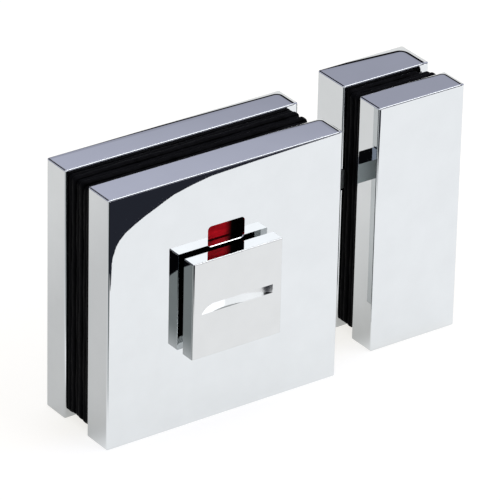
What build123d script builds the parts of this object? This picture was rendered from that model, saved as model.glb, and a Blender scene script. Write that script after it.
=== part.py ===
from build123d import *
import math
import os

# Toilet indicator bolt for a glass door: a lock and its keeper, each made of a front and a rear plate that
# clamp the glass, shown off the glass with rubber sheets between the plates.
# X runs from the lock to the keeper, Y from the outside of the cabin to the inside, Z up.
# The origin is the middle of the whole set, on the surface that it stands on. Lengths are in millimetres.

# Lock plates
lock_side = 65.0
lock_front_depth = 8.4
lock_gap = 9.4
lock_rear_depth = 7.8

# Keeper plates
keeper_width = 25.0
keeper_front_depth = 7.9
keeper_gap = 6.2
keeper_rear_depth = 10.6
lock_to_keeper = 14.0
keeper_setback = 4.7

# Walls of the covers
side_wall = 2.0
window_wall = 2.4
thin_wall = 0.9
keeper_front_wall = 2.0
keeper_rear_wall_share = 4 / 9
cover_edge_radius = 0.35
cover_corner_radius = 0.5

# Outside turn and its coin slot
turn_side = 25.0
turn_thickness = 3.7
turn_standoff = 1.25
turn_edge_radius = 0.25
slot_length = 20.0
slot_width = 2.2
slot_depth = 1.9

# Inside turn
inside_turn_thickness = 12.0
inside_turn_corner_radius = 1.5
inside_turn_edge_radius = 0.6

# Indicator window and disc
window_width = 10.3
window_height = 5.4
window_rise = 12.7
window_corner_radius = 1.0
disc_setback = 2.8
disc_radius = 19.5
disc_thickness = 1.5
field_thickness = 0.3
field_rim = 0.6
field_margin = 2.0
field_half_angle = 36.0
disc_hub_radius = 6.5

# Spindle, journals and bushes
spindle_side = 6.0
spindle_chamfer = 0.4
spindle_end_gap = 0.4
turn_socket_depth = 1.2
inside_socket_depth = 8.0
journal_radius = 5.5
running_clearance = 0.05
fit_clearance = 0.05
end_play = 0.1
bush_wall = 1.2
bush_flange_width = 1.85
bush_flange = 1.0
base_bush_flange_width = 0.65
base_bush_flange = 0.4
spindle_bush_clearance = 0.1
clip_thickness = 0.6
clip_radius = 5.6
clip_groove_radius = 2.4
clip_mouth = 3.4
clip_relief_radius = 3.3

# Toothed quadrant and rack
tooth_module_share = 1 / 52
full_teeth = 20
quadrant_teeth = 8
rack_teeth = 8
rack_lead = 2
spare_teeth = 1
tooth_edge_share = 0.25
flank_steps = 4
straight_up = 90.0
full_circle = 360.0
pressure_angle = 20.0
turn_angle = 90.0
backlash = 0.16
addendum_share = 1.0
dedendum_share = 1.25
quadrant_thickness = 3.0
quadrant_offset = 1.3
spring_thickness = 0.4
spring_gap = 0.05
spring_bore_clearance = 0.3
spring_width = 1.6

# Bolt
bolt_height = 5.1
bolt_rise = 5.2
bolt_side_clearance = 0.1
bolt_hole_clearance = 0.25
bolt_recess = 0.2
bolt_wall_clearance = 0.9
bolt_bar_share = 2.72
bolt_web_clearance = 0.7
bolt_nose_chamfer = 0.5
guide_height = 2.0
guide_screw_clearance = 0.6
guide_end_gap = 2.0
guide_clearance = 0.1

# Base plates, clamp screws and sleeves
base_thickness = 1.2
base_clearance = 0.2
screw_inset_share = 17 / 130
screw_radius = 2.0
screw_head_radius = 3.8
screw_head_height = 2.2
screw_socket_across = 2.5
screw_socket_depth = 1.3
screw_hole_clearance = 0.25
thread_clearance = 0.05
boss_radius = 3.6
boss_height = 3.6
screw_end_gap = 0.8
sleeve_radius = 4.0
sleeve_hole_clearance = 0.2
keeper_screw_inset = 10.5
keeper_screw_offset = 2.0

# Grub screws of the covers and the inside turn
grub_radius = 1.5
grub_recess = 0.2
grub_socket_across = 1.5
grub_socket_depth = 1.0
grub_spread = 15.0
grub_step_back = 2.2
lug_width = 7.0
lug_thickness = 1.2
lug_length = 3.4

# Rubber sheets
lock_sheets = 6
keeper_sheets = 4
sheet_margin = 1.0
sheet_corner_radius = 1.3
sheet_edge_radius = 0.3
sheet_spindle_hole_radius = 8.0
lock_left_shares = [0.35, 0.55, 0.4, 0.7, 0.5, 0.6]
lock_right_shares = [1.5, 1.8, 1.6, 1.9, 1.5, 1.7]
lock_top_shares = [0.9, 1.2, 0.8, 1.1, 0.7, 1.0]
lock_bottom_shares = [1.9, 1.6, 2.0, 1.8, 2.1, 1.7]
keeper_left_shares = [0.5, 0.7, 0.45, 0.6]
keeper_right_shares = [0.8, 0.6, 0.9, 3.4]
keeper_top_shares = [1.0, 0.8, 1.1, 0.9]
keeper_bottom_shares = [1.8, 1.6, 1.9, 1.7]

# Pocket of the keeper
liner_wall = 1.2
liner_back_share = 4 / 15
pocket_clearance = 0.3
pocket_end_clearance = 1.2

# Cuts run past the faces that they open by this much
overrun = 1.0

# Places along Y, from the front of the outside turn to the back of the inside turn
lock_depth = lock_front_depth + lock_gap + lock_rear_depth
turn_reach = turn_standoff + turn_thickness
inside_turn_reach = turn_standoff + inside_turn_thickness
keeper_depth = keeper_front_depth + keeper_gap + keeper_rear_depth
rearmost = max(lock_depth + inside_turn_reach, keeper_setback + keeper_depth)
front_face = turn_reach - (turn_reach + rearmost) / 2
front_rim = front_face + lock_front_depth
rear_rim = front_rim + lock_gap
rear_face = rear_rim + lock_rear_depth
keeper_front_face = front_face + keeper_setback
keeper_front_rim = keeper_front_face + keeper_front_depth
keeper_rear_rim = keeper_front_rim + keeper_gap
keeper_rear_face = keeper_rear_rim + keeper_rear_depth
front_base_face = front_rim - base_thickness
rear_base_face = rear_rim + base_thickness
keeper_front_base_face = keeper_front_rim - base_thickness
keeper_rear_base_face = keeper_rear_rim + base_thickness
disc_face = front_face + disc_setback
disc_back = disc_face + disc_thickness
inner_rear_wall = rear_face - thin_wall

# Places along X and Z
total_width = lock_side + lock_to_keeper + keeper_width
lock_left = -total_width / 2
lock_right = lock_left + lock_side
keeper_left = lock_right + lock_to_keeper
keeper_right = keeper_left + keeper_width
axis_x = lock_left + lock_side / 2
axis_z = lock_side / 2
keeper_screw_x = keeper_left + keeper_width / 2 + keeper_screw_offset

# Bores and flanges of the bushes
journal_bore_radius = journal_radius + running_clearance
bush_radius = journal_bore_radius + bush_wall
bush_flange_radius = bush_radius + bush_flange_width
base_bush_flange_radius = bush_radius + base_bush_flange_width

# Mesh of the quadrant with the rack
tooth_module = lock_side * tooth_module_share
pitch_radius = tooth_module * full_teeth / 2
tip_radius = pitch_radius + tooth_module * addendum_share
root_radius = pitch_radius - tooth_module * dedendum_share
base_radius = pitch_radius * math.cos(math.radians(pressure_angle))
tooth_angle = full_circle / full_teeth
tooth_pitch = math.pi * tooth_module
bolt_travel = pitch_radius * math.radians(turn_angle)
pitch_line_z = axis_z + pitch_radius
rack_root_z = pitch_line_z + tooth_module * dedendum_share
rack_tip_z = pitch_line_z - tooth_module * addendum_share
last_tooth_angle = straight_up + tooth_angle * spare_teeth
first_tooth_angle = last_tooth_angle - tooth_angle * (quadrant_teeth - 1)

# Place of the bolt when it is thrown, as it is at rest
bolt_low_y = rear_base_face + bolt_side_clearance
bolt_high_y = inner_rear_wall - bolt_side_clearance
bolt_low_z = axis_z + bolt_rise
bolt_high_z = bolt_low_z + bolt_height
bolt_tip_x = lock_right - bolt_recess + bolt_travel
quadrant_end_angle = first_tooth_angle + turn_angle - tooth_angle * tooth_edge_share
quadrant_reach = tip_radius * math.cos(math.radians(quadrant_end_angle))
web_low_x = axis_x + quadrant_reach + bolt_web_clearance + bolt_travel
web_high_x = lock_right - side_wall - bolt_wall_clearance
bar_low_x = axis_x - tooth_pitch * rack_lead
bar_high_z = rack_root_z + tooth_module * bolt_bar_share

# Room behind the bolt in the keeper, shared by the liner's back, a gap and the rear wall of the cover
pocket_back_y = bolt_high_y + pocket_clearance
pocket_back_space = keeper_rear_face - pocket_back_y
keeper_rear_wall = pocket_back_space * keeper_rear_wall_share
liner_back = pocket_back_space * liner_back_share

# Places of the clamp screws, from the middle of the lock
screw_reach = lock_side / 2 - lock_side * screw_inset_share
lock_screws = [(axis_x + i * screw_reach, axis_z + j * screw_reach) for i in (-1, 1) for j in (-1, 1)]
keeper_screws = [(keeper_screw_x, keeper_screw_inset), (keeper_screw_x, lock_side - keeper_screw_inset)]

# Places of the grub screws along Y
front_grub_y = front_base_face - grub_step_back + grub_radius / 2
rear_grub_y = rear_base_face + grub_step_back - grub_radius / 2
keeper_front_grub_y = keeper_front_base_face - grub_step_back + grub_radius / 2
keeper_rear_grub_y = keeper_rear_base_face + grub_step_back - grub_radius / 2

# Angles of the two fields from the X axis, as seen from the front with the bolt thrown
red_angle = straight_up
green_angle = red_angle - turn_angle


def slab(low_x, high_x, low_y, high_y, low_z, high_z):
    """A plain block between two corners."""
    block = Box(high_x - low_x, high_y - low_y, high_z - low_z, align=(Align.MIN, Align.MIN, Align.MIN))
    return Pos(low_x, low_y, low_z) * block


def rod(radius, x, z, low_y, high_y):
    """A round bar along Y."""
    bar = Cylinder(radius, high_y - low_y, align=(Align.CENTER, Align.CENTER, Align.MIN))
    return Pos(x, low_y, z) * Rot(-90, 0, 0) * bar


def front_plane(x, y, z):
    """A plane that is drawn on as seen from the front: its own x is X, and its own y is Z."""
    return Plane(origin=(x, y, z), x_dir=(1, 0, 0), z_dir=(0, -1, 0))


def behind(sketch, depth):
    """The sketch made into a solid that reaches back by this depth."""
    return extrude(sketch, amount=-depth)


def hexagon(across, depth):
    """A hexagonal prism along Z, for a socket."""
    return extrude(RegularPolygon(across / 2, 6, major_radius=False), amount=depth)


def shell(low_x, high_x, low_y, high_y, face_wall, opens_back):
    """A cover: a box with eased edges, hollowed from the side that meets the rubber."""
    body = slab(low_x, high_x, low_y, high_y, 0, lock_side)
    upright = body.edges().filter_by(Axis.Z)
    body = fillet(upright, cover_corner_radius)
    seen_face = body.faces().sort_by(Axis.Y)[0 if opens_back else -1]
    body = fillet(seen_face.edges(), cover_edge_radius)
    hollow_low = low_y + face_wall if opens_back else low_y - overrun
    hollow_high = high_y + overrun if opens_back else high_y - face_wall
    hollow = slab(
        low_x + side_wall,
        high_x - side_wall,
        hollow_low,
        hollow_high,
        side_wall,
        lock_side - side_wall,
    )
    return body - hollow


def grub_hole(x, y):
    """The hole in the bottom wall of a cover that takes a grub screw."""
    radius = grub_radius + thread_clearance
    return Pos(x, y, -overrun) * Cylinder(
        radius, side_wall + overrun * 2, align=(Align.CENTER, Align.CENTER, Align.MIN)
    )


def grub_screw(x, y):
    """A grub screw in the bottom wall of a cover, with its socket facing down."""
    length = side_wall + base_clearance - grub_recess
    body = Cylinder(grub_radius, length, align=(Align.CENTER, Align.CENTER, Align.MIN))
    socket = hexagon(grub_socket_across, grub_socket_depth)
    return Pos(x, y, grub_recess) * (body - socket)


def lock_grub_places(y):
    """The two places of a lock cover's grub screws."""
    return [(axis_x - grub_spread, y), (axis_x + grub_spread, y)]


def lug(x, low_y, high_y):
    """A bent tab at the foot of a base plate, which the grub screw bears on."""
    low_z = side_wall + base_clearance
    return slab(x - lug_width / 2, x + lug_width / 2, low_y, high_y, low_z, low_z + lug_thickness)


def base_blank(low_x, high_x, low_y, high_y):
    """A flat plate that fills the mouth of a cover, with its clearance all round."""
    inset = side_wall + base_clearance
    return slab(low_x + inset, high_x - inset, low_y, high_y, inset, lock_side - inset)


def flanged_bush(bore_radius, wall, flange_radius, low_y, high_y, flange_low, flange_high):
    """A bush along the spindle's axis, with one flange."""
    ring = rod(bore_radius + wall, axis_x, axis_z, low_y, high_y)
    flange = rod(flange_radius, axis_x, axis_z, flange_low, flange_high)
    bore_low = min(low_y, flange_low) - overrun
    bore_high = max(high_y, flange_high) + overrun
    return ring + flange - rod(bore_radius, axis_x, axis_z, bore_low, bore_high)


def square_hole(low_y, high_y):
    """The square hole that fits over the spindle."""
    half = spindle_side / 2 + fit_clearance
    return slab(axis_x - half, axis_x + half, low_y, high_y, axis_z - half, axis_z + half)


def make_front_cover():
    body = shell(lock_left, lock_right, front_face, front_rim, window_wall, True)
    bore = rod(bush_radius, axis_x, axis_z, front_face - overrun, front_rim)
    window_z = axis_z + window_rise + window_height / 2
    window = front_plane(axis_x, front_face - overrun, window_z) * RectangleRounded(
        window_width, window_height, window_corner_radius
    )
    body = body - bore - behind(window, window_wall + overrun * 2)
    for x, y in lock_grub_places(front_grub_y):
        body = body - grub_hole(x, y)
    return body


def make_rear_cover():
    body = shell(lock_left, lock_right, rear_rim, rear_face, thin_wall, False)
    body = body - rod(bush_radius, axis_x, axis_z, rear_rim, rear_face + overrun)
    bolt_hole = slab(
        lock_right - side_wall - overrun,
        lock_right + overrun,
        bolt_low_y - bolt_side_clearance,
        bolt_high_y + bolt_side_clearance,
        bolt_low_z - bolt_hole_clearance,
        bolt_high_z + bolt_hole_clearance,
    )
    body = body - bolt_hole
    for x, y in lock_grub_places(rear_grub_y):
        body = body - grub_hole(x, y)
    return body


def make_front_base_plate():
    body = base_blank(lock_left, lock_right, front_base_face, front_rim)
    for x, z in lock_screws:
        body = body + rod(boss_radius, x, z, front_base_face - boss_height, front_rim)
    for x, y in lock_grub_places(front_grub_y):
        body = body + lug(x, front_base_face - lug_length, front_rim)
    for x, z in lock_screws:
        hole_radius = screw_radius + thread_clearance
        hole_low = front_base_face - boss_height - overrun
        body = body - rod(hole_radius, x, z, hole_low, front_rim + overrun)
    hole_radius = spindle_bush_radius() + bush_wall
    return body - rod(hole_radius, axis_x, axis_z, front_base_face - overrun, front_rim + overrun)


def make_rear_base_plate():
    body = base_blank(lock_left, lock_right, rear_rim, rear_base_face)
    for x, y in lock_grub_places(rear_grub_y):
        body = body + lug(x, rear_rim, rear_base_face + lug_length)
    for x, z in lock_screws:
        hole_radius = screw_radius + screw_hole_clearance
        body = body - rod(hole_radius, x, z, rear_rim - overrun, rear_base_face + overrun)
    return body - rod(bush_radius, axis_x, axis_z, rear_rim - overrun, rear_base_face + overrun)


def spindle_bush_radius():
    """The bore that the corners of the square spindle turn in."""
    corner = spindle_side / 2 * math.sqrt(2) - spindle_chamfer / math.sqrt(2)
    return corner + spindle_bush_clearance


def make_spindle():
    low_y = front_face - turn_standoff - turn_socket_depth + spindle_end_gap
    high_y = rear_face + turn_standoff + inside_socket_depth - spindle_end_gap
    half = spindle_side / 2
    bar = slab(axis_x - half, axis_x + half, low_y, high_y, axis_z - half, axis_z + half)
    bar = chamfer(bar.edges().filter_by(Axis.Y), spindle_chamfer)
    groove_low = clip_low_y() - end_play / 2
    groove_high = groove_low + clip_thickness + end_play
    ring = rod(clip_radius, axis_x, axis_z, groove_low, groove_high)
    core = rod(clip_groove_radius, axis_x, axis_z, groove_low, groove_high)
    return bar - (ring - core)


def clip_low_y():
    """The front of the clip, just behind the bush of the front base plate."""
    return front_rim + end_play


def make_spindle_clip():
    low_y = clip_low_y()
    high_y = low_y + clip_thickness
    bore_radius = clip_groove_radius + running_clearance
    plate = rod(clip_radius, axis_x, axis_z, low_y, high_y) - rod(
        bore_radius, axis_x, axis_z, low_y - overrun, high_y + overrun
    )
    mouth = slab(
        axis_x - clip_mouth / 2,
        axis_x + clip_mouth / 2,
        low_y - overrun,
        high_y + overrun,
        axis_z - clip_radius - overrun,
        axis_z,
    )
    relief = rod(clip_relief_radius, axis_x, axis_z, low_y - overrun, high_y + overrun)
    side_relief = relief & slab(
        axis_x - clip_radius,
        axis_x + clip_radius,
        low_y - overrun,
        high_y + overrun,
        axis_z - clip_mouth / 2,
        axis_z,
    )
    return plate - mouth - side_relief


def make_turn_plate():
    low_y = front_face - turn_reach
    high_y = front_face - turn_standoff
    half = turn_side / 2
    plate = slab(axis_x - half, axis_x + half, low_y, high_y, axis_z - half, axis_z + half)
    plate = fillet(plate.edges().filter_by(Axis.Y), turn_edge_radius)
    plate = fillet(plate.faces().sort_by(Axis.Y)[0].edges(), turn_edge_radius)
    boss = rod(journal_radius, axis_x, axis_z, high_y, disc_face - end_play)
    socket = square_hole(high_y - turn_socket_depth, disc_face)
    return plate + boss - socket - coin_slot(low_y)


def coin_slot(face_y):
    """The slot that a round cutter leaves: deepest in the middle and running out at both ends."""
    cutter_radius = ((slot_length / 2) ** 2 + slot_depth**2) / (slot_depth * 2)
    centre_y = face_y + slot_depth - cutter_radius
    cutter = Pos(axis_x, centre_y, axis_z) * Cylinder(cutter_radius, slot_width)
    ahead = slab(
        axis_x - cutter_radius,
        axis_x + cutter_radius,
        centre_y,
        face_y + cutter_radius,
        axis_z - slot_width,
        axis_z + slot_width,
    )
    return cutter & ahead


def make_front_bush():
    return flanged_bush(
        journal_bore_radius,
        bush_wall,
        bush_flange_radius,
        front_face,
        front_face + window_wall,
        front_face - bush_flange,
        front_face,
    )


def make_inside_bush():
    return flanged_bush(
        journal_bore_radius,
        bush_wall,
        bush_flange_radius,
        inner_rear_wall,
        rear_face,
        rear_face,
        rear_face + bush_flange,
    )


def make_front_base_bush():
    return flanged_bush(
        spindle_bush_radius(),
        bush_wall,
        base_bush_flange_radius,
        front_base_face,
        front_rim,
        front_base_face - base_bush_flange,
        front_base_face,
    )


def make_rear_base_bush():
    return flanged_bush(
        journal_bore_radius,
        bush_wall,
        base_bush_flange_radius,
        rear_rim,
        rear_base_face,
        rear_base_face,
        rear_base_face + base_bush_flange,
    )


def field_sketch(middle_angle, y):
    """An area of the indicator's colour, a stretch of ring about the given angle, as seen from the front."""
    inner = window_rise - field_margin
    outer = disc_radius - field_rim
    low = math.radians(middle_angle - field_half_angle)
    high = math.radians(middle_angle + field_half_angle)
    middle = math.radians(middle_angle)

    def at(radius, angle):
        return (radius * math.cos(angle), radius * math.sin(angle))

    outline = (
        ThreePointArc(at(outer, low), at(outer, middle), at(outer, high))
        + Line(at(outer, high), at(inner, high))
        + ThreePointArc(at(inner, high), at(inner, middle), at(inner, low))
        + Line(at(inner, low), at(outer, low))
    )
    return front_plane(axis_x, y, axis_z) * make_face(outline)


def make_field(middle_angle):
    return behind(field_sketch(middle_angle, disc_face), field_thickness)


def make_indicator_disc():
    disc = rod(disc_radius, axis_x, axis_z, disc_face, disc_back)
    hub = rod(disc_hub_radius, axis_x, axis_z, disc_back, front_base_face - base_bush_flange - end_play)
    body = disc + hub - square_hole(disc_face - overrun, front_base_face)
    return body - make_field(red_angle) - make_field(green_angle)


def involute(angle):
    """The involute function of an angle in radians."""
    return math.tan(angle) - angle


def tooth_half_angle(radius):
    """Half the angle that a quadrant tooth fills at this radius, in radians."""
    half_at_pitch = (tooth_pitch / 2 - backlash / 2) / 2 / pitch_radius
    here = math.acos(min(base_radius, radius) / radius)
    return half_at_pitch + involute(math.radians(pressure_angle)) - involute(here)


def quadrant_tooth(angle):
    """One involute tooth that points along the given angle, rooted inside the quadrant's rim."""
    span = tip_radius - base_radius
    radii = [base_radius + span * step / flank_steps for step in range(flank_steps + 1)]
    middle = math.radians(angle)

    def at(radius, offset):
        return (radius * math.cos(middle + offset), radius * math.sin(middle + offset))

    half_at_base = tooth_half_angle(base_radius)
    half_at_tip = tooth_half_angle(tip_radius)
    buried = root_radius - tooth_module / 2
    low_flank = Spline([at(radius, -tooth_half_angle(radius)) for radius in radii])
    high_flank = Spline([at(radius, tooth_half_angle(radius)) for radius in reversed(radii)])
    outline = (
        Line(at(buried, -half_at_base), at(base_radius, -half_at_base))
        + low_flank
        + ThreePointArc(at(tip_radius, -half_at_tip), at(tip_radius, 0), at(tip_radius, half_at_tip))
        + high_flank
        + Line(at(base_radius, half_at_base), at(buried, half_at_base))
        + Line(at(buried, half_at_base), at(buried, -half_at_base))
    )
    return make_face(outline)


def make_quadrant():
    """The toothed quadrant with the bolt thrown: its last tooth but one points straight up."""
    low_y = rear_base_face + quadrant_offset
    low = math.radians(first_tooth_angle - tooth_angle / 2)
    high = math.radians(last_tooth_angle + tooth_angle / 2)
    middle = (low + high) / 2

    def at(radius, angle):
        return (radius * math.cos(angle), radius * math.sin(angle))

    rim = (
        Line((0, 0), at(root_radius, low))
        + ThreePointArc(at(root_radius, low), at(root_radius, middle), at(root_radius, high))
        + Line(at(root_radius, high), (0, 0))
    )
    sketch = make_face(rim)
    for number in range(quadrant_teeth):
        sketch = sketch + quadrant_tooth(first_tooth_angle + tooth_angle * number)
    plate = behind(front_plane(axis_x, low_y, axis_z) * sketch, quadrant_thickness)
    hub_high = inside_boss_low() - end_play
    hub = rod(journal_radius, axis_x, axis_z, rear_rim, hub_high)
    return plate + hub - square_hole(rear_rim - overrun, hub_high + overrun)


def make_disc_spring():
    """A dished spring washer between the rear base plate's bush and the quadrant."""
    low_y = rear_base_face + base_bush_flange + spring_gap
    high_y = rear_base_face + quadrant_offset - spring_gap
    inner = journal_radius + spring_bore_clearance
    outer = inner + spring_width
    section = Polyline(
        (inner, low_y),
        (outer, high_y - spring_thickness),
        (outer, high_y),
        (inner, low_y + spring_thickness),
        (inner, low_y),
    )
    ring = revolve(Plane.XY * make_face(section), Axis.Y)
    return Pos(axis_x, 0, axis_z) * ring


def rack_tooth(centre_x):
    """One straight-sided tooth under the bolt's bar, as seen from the front."""
    lean = math.tan(math.radians(pressure_angle))
    half_at_pitch = (tooth_pitch / 2 - backlash / 2) / 2
    half_at_tip = half_at_pitch - tooth_module * addendum_share * lean
    half_at_root = half_at_pitch + tooth_module * dedendum_share * lean
    buried_z = rack_root_z + tooth_module / 2
    return make_face(
        Polyline(
            (centre_x - half_at_tip, rack_tip_z),
            (centre_x + half_at_tip, rack_tip_z),
            (centre_x + half_at_root, rack_root_z),
            (centre_x + half_at_root, buried_z),
            (centre_x - half_at_root, buried_z),
            (centre_x - half_at_root, rack_root_z),
            (centre_x - half_at_tip, rack_tip_z),
        )
    )


def make_bolt():
    """The bolt, thrown: its nose, the web that climbs from the nose, and the bar with the rack under it."""
    outline = make_face(
        Polyline(
            (web_low_x, bolt_low_z),
            (bolt_tip_x, bolt_low_z),
            (bolt_tip_x, bolt_high_z),
            (web_high_x, bolt_high_z),
            (web_high_x, bar_high_z),
            (bar_low_x, bar_high_z),
            (bar_low_x, rack_root_z),
            (web_low_x, rack_root_z),
            (web_low_x, bolt_low_z),
        )
    )
    for number in range(rack_teeth):
        outline = outline + rack_tooth(bar_low_x + tooth_pitch / 2 + tooth_pitch * number)
    body = behind(front_plane(0, bolt_low_y, 0) * outline, bolt_high_y - bolt_low_y)
    nose_end = body.faces().sort_by(Axis.X)[-1]
    return chamfer(nose_end.edges(), bolt_nose_chamfer)


def make_upper_guide():
    low_x = bar_low_x - bolt_travel
    low_z = bar_high_z + guide_clearance
    high_z = axis_z + screw_reach - screw_head_radius - guide_screw_clearance
    return slab(low_x, web_high_x, rear_base_face, inner_rear_wall, low_z, high_z)


def make_lower_guide():
    low_x = axis_x + tip_radius + guide_end_gap
    high_x = lock_right - side_wall - base_clearance
    high_z = bolt_low_z - guide_clearance
    return slab(low_x, high_x, rear_base_face, inner_rear_wall, high_z - guide_height, high_z)


def inside_boss_low():
    """The front end of the inside turn's boss, behind the quadrant's plate."""
    return inner_rear_wall - thin_wall


def make_inside_turn():
    low_y = rear_face + turn_standoff
    high_y = low_y + inside_turn_thickness
    half = turn_side / 2
    block = slab(axis_x - half, axis_x + half, low_y, high_y, axis_z - half, axis_z + half)
    block = fillet(block.edges().filter_by(Axis.Y), inside_turn_corner_radius)
    block = fillet(block.faces().sort_by(Axis.Y)[-1].edges(), inside_turn_edge_radius)
    boss = rod(journal_radius, axis_x, axis_z, inside_boss_low(), low_y)
    socket = square_hole(inside_boss_low() - overrun, low_y + inside_socket_depth)
    grub_bore = Pos(axis_x, inside_grub_y(), axis_z - turn_side / 2 - overrun) * Cylinder(
        grub_radius + thread_clearance,
        turn_side / 2 + overrun,
        align=(Align.CENTER, Align.CENTER, Align.MIN),
    )
    return block + boss - socket - grub_bore


def inside_grub_y():
    """The middle of the inside turn's grub screw along Y."""
    return rear_face + turn_standoff + inside_socket_depth / 2


def make_inside_grub_screw():
    low_z = axis_z - turn_side / 2 + grub_recess
    high_z = axis_z - spindle_side / 2
    body = Cylinder(grub_radius, high_z - low_z, align=(Align.CENTER, Align.CENTER, Align.MIN))
    return Pos(axis_x, inside_grub_y(), low_z) * (body - hexagon(grub_socket_across, grub_socket_depth))


def clamp_screw(x, z, head_seat, end_y):
    """A socket screw with its head behind the rear base plate and its thread in the front one."""
    head = rod(screw_head_radius, x, z, head_seat, head_seat + screw_head_height)
    shank = rod(screw_radius, x, z, end_y, head_seat)
    socket = Pos(x, head_seat + screw_head_height, z) * Rot(90, 0, 0) * hexagon(
        screw_socket_across, screw_socket_depth
    )
    return head + shank - socket


def make_clamp_screws():
    end_y = front_base_face - boss_height + screw_end_gap
    return Compound(children=[clamp_screw(x, z, rear_base_face, end_y) for x, z in lock_screws])


def sleeve(x, z, low_y, high_y):
    """A plastic sleeve that keeps a clamp screw off the glass."""
    bore = rod(screw_radius + screw_hole_clearance, x, z, low_y - overrun, high_y + overrun)
    return rod(sleeve_radius, x, z, low_y, high_y) - bore


def make_clamp_sleeves():
    return Compound(children=[sleeve(x, z, front_rim, rear_rim) for x, z in lock_screws])


def rubber_sheet(low_x, high_x, low_y, high_y, low_z, high_z, screws):
    """One rubber sheet with rounded corners and soft edges, cut for the sleeves."""
    body = slab(low_x, high_x, low_y, high_y, low_z, high_z)
    body = fillet(body.edges().filter_by(Axis.Y), sheet_corner_radius)
    body = fillet(body.faces().sort_by(Axis.Y)[0].edges(), sheet_edge_radius)
    body = fillet(body.faces().sort_by(Axis.Y)[-1].edges(), sheet_edge_radius)
    for x, z in screws:
        body = body - rod(sleeve_radius + sleeve_hole_clearance, x, z, low_y - overrun, high_y + overrun)
    return body


def make_lock_sheet(number):
    thickness = lock_gap / lock_sheets
    low_y = front_rim + thickness * number
    body = rubber_sheet(
        lock_left + sheet_margin * lock_left_shares[number],
        lock_right - sheet_margin * lock_right_shares[number],
        low_y,
        low_y + thickness,
        sheet_margin * lock_bottom_shares[number],
        lock_side - sheet_margin * lock_top_shares[number],
        lock_screws,
    )
    return body - rod(sheet_spindle_hole_radius, axis_x, axis_z, low_y - overrun, low_y + thickness + overrun)


def make_keeper_sheet(number):
    thickness = keeper_gap / keeper_sheets
    low_y = keeper_front_rim + thickness * number
    return rubber_sheet(
        keeper_left + sheet_margin * keeper_left_shares[number],
        keeper_right - sheet_margin * keeper_right_shares[number],
        low_y,
        low_y + thickness,
        sheet_margin * keeper_bottom_shares[number],
        lock_side - sheet_margin * keeper_top_shares[number],
        keeper_screws,
    )


def make_keeper_front_cover():
    body = shell(keeper_left, keeper_right, keeper_front_face, keeper_front_rim, keeper_front_wall, True)
    return body - grub_hole(keeper_screw_x, keeper_front_grub_y)


def make_keeper_rear_cover():
    body = shell(keeper_left, keeper_right, keeper_rear_rim, keeper_rear_face, keeper_rear_wall, False)
    mouth = slab(
        keeper_left - overrun,
        keeper_left + side_wall + overrun,
        keeper_rear_rim - overrun,
        pocket_back_y,
        bolt_low_z - pocket_clearance,
        bolt_high_z + pocket_clearance,
    )
    return body - mouth - grub_hole(keeper_screw_x, keeper_rear_grub_y)


def make_keeper_front_base_plate():
    body = base_blank(keeper_left, keeper_right, keeper_front_base_face, keeper_front_rim)
    for x, z in keeper_screws:
        body = body + rod(boss_radius, x, z, keeper_front_base_face - boss_height, keeper_front_rim)
    body = body + lug(keeper_screw_x, keeper_front_base_face - lug_length, keeper_front_rim)
    for x, z in keeper_screws:
        hole_radius = screw_radius + thread_clearance
        low_y = keeper_front_base_face - boss_height - overrun
        body = body - rod(hole_radius, x, z, low_y, keeper_front_rim + overrun)
    return body


def liner_high_x():
    """The far end of the pocket's liner, past the bolt's tip."""
    return bolt_tip_x + pocket_end_clearance + liner_wall


def make_keeper_rear_base_plate():
    body = base_blank(keeper_left, keeper_right, keeper_rear_rim, keeper_rear_base_face)
    body = body + lug(keeper_screw_x, keeper_rear_rim, keeper_rear_base_face + lug_length)
    reach = pocket_clearance + liner_wall + base_clearance
    notch = slab(
        keeper_left,
        liner_high_x() + base_clearance,
        keeper_rear_rim - overrun,
        keeper_rear_base_face + overrun,
        bolt_low_z - reach,
        bolt_high_z + reach,
    )
    body = body - notch
    for x, z in keeper_screws:
        hole_radius = screw_radius + screw_hole_clearance
        body = body - rod(hole_radius, x, z, keeper_rear_rim - overrun, keeper_rear_base_face + overrun)
    return body


def make_pocket_liner():
    """The plastic liner that takes the bolt's tip: walls above, below, behind and at the far end."""
    reach = pocket_clearance + liner_wall
    low_x = keeper_left + side_wall
    outer = slab(
        low_x,
        liner_high_x(),
        keeper_rear_rim,
        pocket_back_y + liner_back,
        bolt_low_z - reach,
        bolt_high_z + reach,
    )
    pocket = slab(
        low_x - overrun,
        liner_high_x() - liner_wall,
        keeper_rear_rim - overrun,
        pocket_back_y,
        bolt_low_z - pocket_clearance,
        bolt_high_z + pocket_clearance,
    )
    return outer - pocket


def make_keeper_clamp_screws():
    end_y = keeper_front_base_face - boss_height + screw_end_gap
    return Compound(children=[clamp_screw(x, z, keeper_rear_base_face, end_y) for x, z in keeper_screws])


def make_keeper_clamp_sleeves():
    return Compound(children=[sleeve(x, z, keeper_front_rim, keeper_rear_rim) for x, z in keeper_screws])


def make_cover_grub_screws():
    places = lock_grub_places(front_grub_y) + lock_grub_places(rear_grub_y)
    return Compound(children=[grub_screw(x, y) for x, y in places])


def make_keeper_grub_screws():
    places = [(keeper_screw_x, keeper_front_grub_y), (keeper_screw_x, keeper_rear_grub_y)]
    return Compound(children=[grub_screw(x, y) for x, y in places])


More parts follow.
